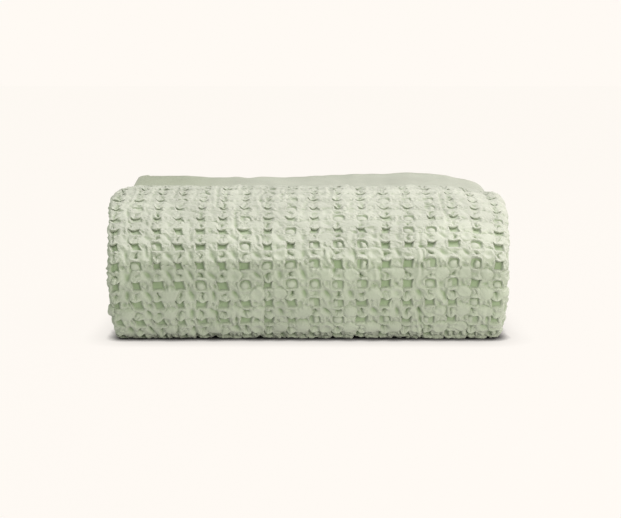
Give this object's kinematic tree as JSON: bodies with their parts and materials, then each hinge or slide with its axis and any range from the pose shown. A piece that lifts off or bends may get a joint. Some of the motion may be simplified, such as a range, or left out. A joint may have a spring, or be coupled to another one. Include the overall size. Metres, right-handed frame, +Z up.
{
  "type": "folded waffle weave cotton blanket",
  "caption": "Waffle weave cotton blanket, folded into a low rectangular pile with a round front fold and a plain border on top; it rests flat on a shelf, bed or chair.",
  "frame": {"origin": "under the middle of the folded blanket, on the surface that it rests on", "axes": "+X along the folds towards the pile's right end, +Y from the round front fold towards the back with the cloth's ends, +Z up"},
  "size_m": [0.4168, 0.3102, 0.1501],
  "materials": {
    "sage_cotton": "matt soft waffle woven cotton"
  },
  "bodies": {
    "root": {"blanket": "sage_cotton"}
  },
  "joints": []
}
